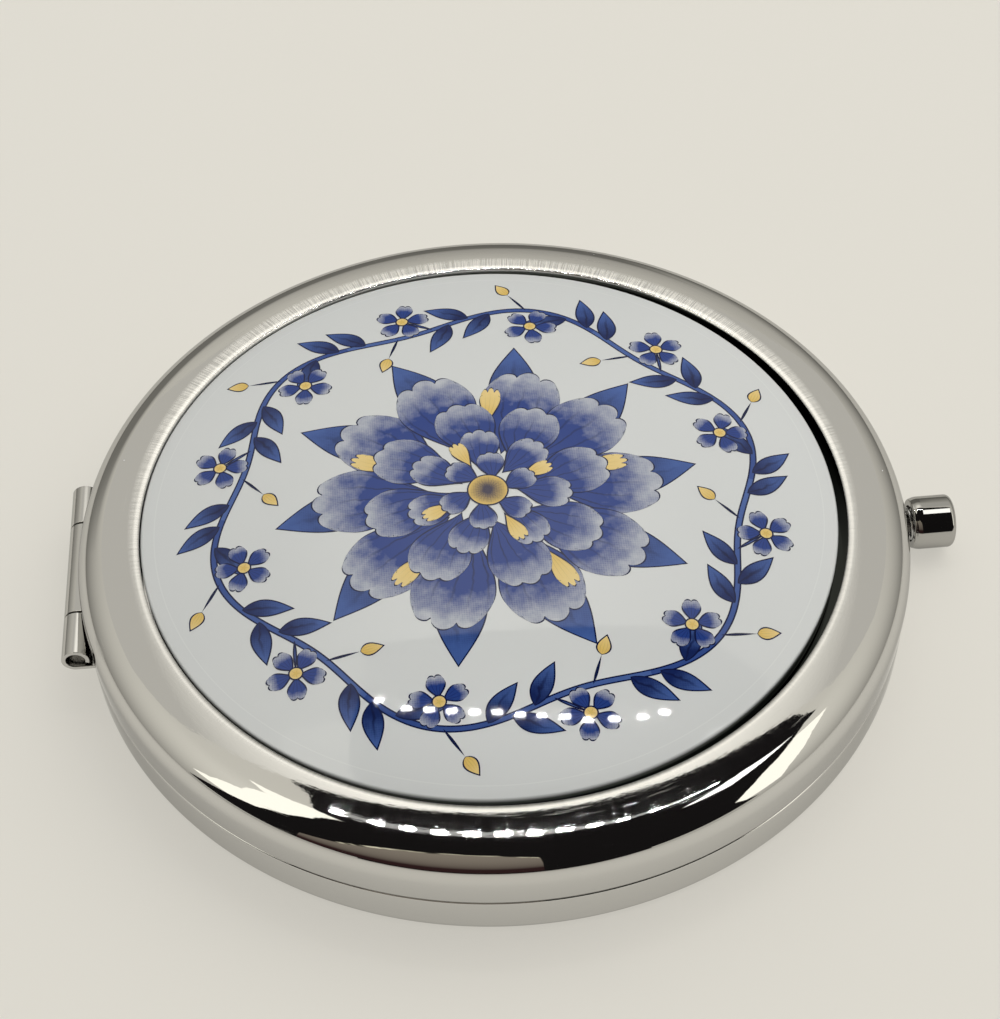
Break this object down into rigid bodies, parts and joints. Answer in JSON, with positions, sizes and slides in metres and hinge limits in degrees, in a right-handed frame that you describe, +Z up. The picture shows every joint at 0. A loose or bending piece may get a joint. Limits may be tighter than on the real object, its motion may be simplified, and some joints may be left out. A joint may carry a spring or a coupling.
{
  "type": "compact mirror",
  "caption": "Round chrome compact mirror with a hinged lid, a domed porcelain disc set in the lid, a push-button catch and framed mirrors inside.",
  "frame": {"origin": "centre of the round base's flat underside, under the middle of the disc", "axes": "+Z up from the table through the lid, +X from the hinge to the push button, Y along the hinge pin"},
  "size_m": [0.0762, 0.07, 0.011],
  "materials": {
    "case_chrome": "polished",
    "frame_chrome": "polished",
    "hinge_chrome": "polished",
    "button_chrome": "polished",
    "pin_steel": "satin",
    "latch_steel": "satin",
    "spring_steel": "satin",
    "mirror_glass": "polished",
    "porcelain": "gloss",
    "foam_tape": "matte",
    "clear_glue": "satin"
  },
  "bodies": {
    "base": {"base_shell": "case_chrome", "base_mirror_pad": "foam_tape", "base_mirror": "mirror_glass", "base_mirror_frame": "frame_chrome", "base_hinge_leaf": "hinge_chrome", "hinge_pin": "pin_steel", "latch_bracket": "latch_steel", "button_spring": "spring_steel"},
    "lid": {"lid_shell": "case_chrome", "lid_mirror_pad": "foam_tape", "lid_mirror": "mirror_glass", "lid_mirror_frame": "frame_chrome", "lid_hinge_leaf": "hinge_chrome", "hinge_rivets": "pin_steel", "lid_striker": "latch_steel", "striker_rivets": "pin_steel", "insert_glue": "clear_glue", "decor_insert": "porcelain"},
    "button": {"button_cap": "button_chrome", "button_stem": "latch_steel", "latch_slide": "latch_steel"}
  },
  "joints": [
    {"name": "lid_hinge", "type": "hinge", "parent": "base", "child": "lid", "pos_m": [-0.0352, 0, 0.0044], "axis": [0, -1, 0], "range_deg": [0, 170]},
    {"name": "button_press", "type": "slide", "parent": "base", "child": "button", "axis": [-1, 0, 0], "range_m": [0, 0.001], "stiffness_N_per_m": 600, "springref_m": -0.002, "deforming": ["button_spring"]}
  ]
}
